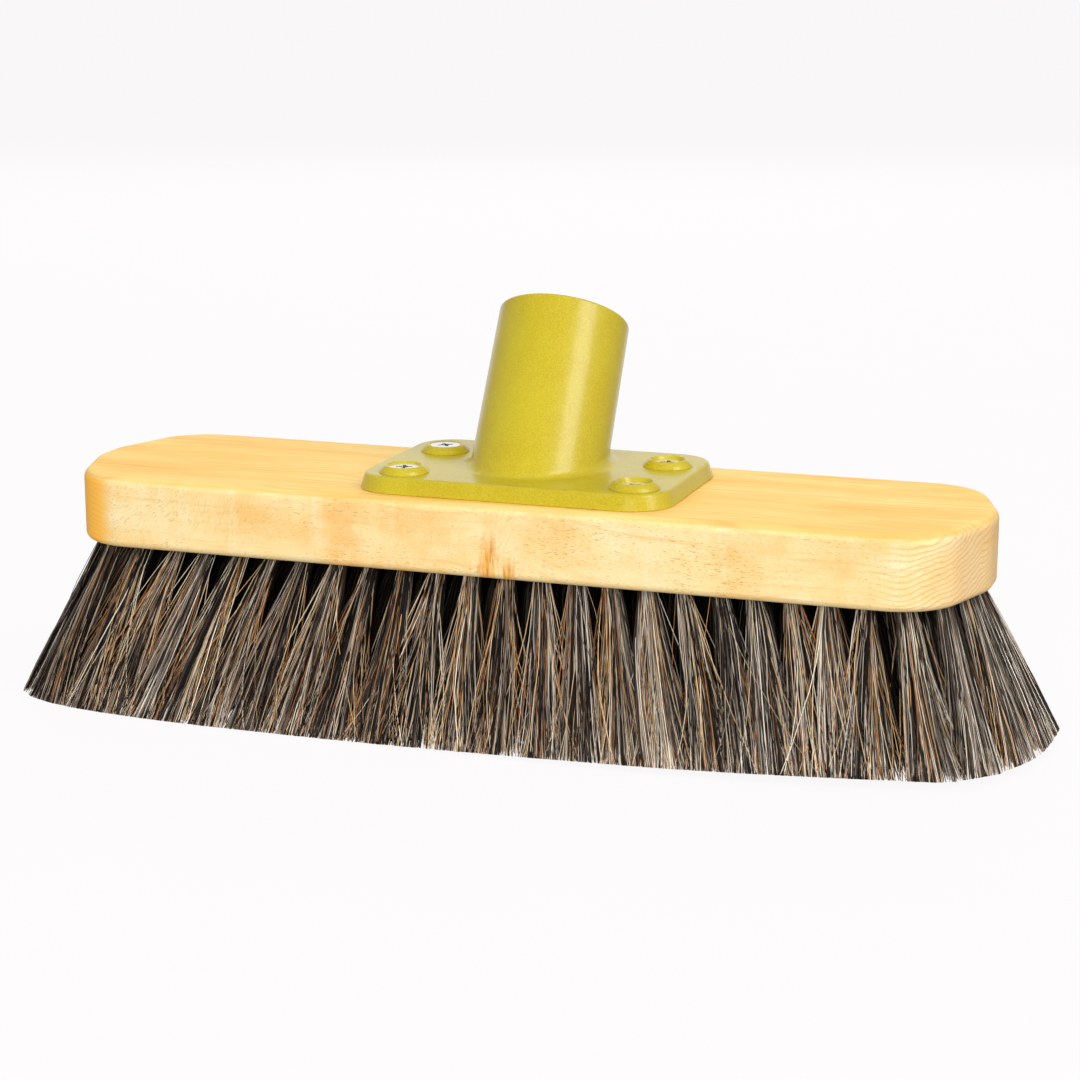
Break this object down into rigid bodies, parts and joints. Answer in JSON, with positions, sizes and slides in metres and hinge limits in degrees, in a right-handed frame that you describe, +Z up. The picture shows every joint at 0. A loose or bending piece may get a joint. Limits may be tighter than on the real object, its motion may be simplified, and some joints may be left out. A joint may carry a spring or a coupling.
{
  "type": "push broom head",
  "caption": "Push broom head: hair tufts anchored in a round-ended hardwood block, with a screwed-on plate whose tilted socket takes a round handle.",
  "frame": {"origin": "on the floor plane through the hair tips, under the middle of the head", "axes": "+X along the block's length, +Z up, the handle socket leans towards +Y"},
  "size_m": [0.3136, 0.0932, 0.1262],
  "materials": {
    "beech": "satin clear lacquer",
    "olive_plastic": "fine-grained satin",
    "zinc_plated_steel": "bright zinc plate",
    "mixed_hair": "glossy natural hair",
    "anchor_wire": "bright drawn wire"
  },
  "bodies": {
    "root": {"wooden_block": "beech", "socket_plate": "olive_plastic", "socket_tube": "olive_plastic", "screw_front_left": "zinc_plated_steel", "screw_front_right": "zinc_plated_steel", "screw_back_left": "zinc_plated_steel", "screw_back_right": "zinc_plated_steel", "tufts_row_1_front": "mixed_hair", "tufts_row_2": "mixed_hair", "tufts_row_3": "mixed_hair", "tufts_row_4": "mixed_hair", "tufts_row_5": "mixed_hair", "tufts_row_6_back": "mixed_hair", "tufts_left_end": "mixed_hair", "tufts_right_end": "mixed_hair", "anchors_row_1_front": "anchor_wire", "anchors_row_2": "anchor_wire", "anchors_row_3": "anchor_wire", "anchors_row_4": "anchor_wire", "anchors_row_5": "anchor_wire", "anchors_row_6_back": "anchor_wire", "anchors_left_end": "anchor_wire", "anchors_right_end": "anchor_wire"}
  },
  "joints": []
}
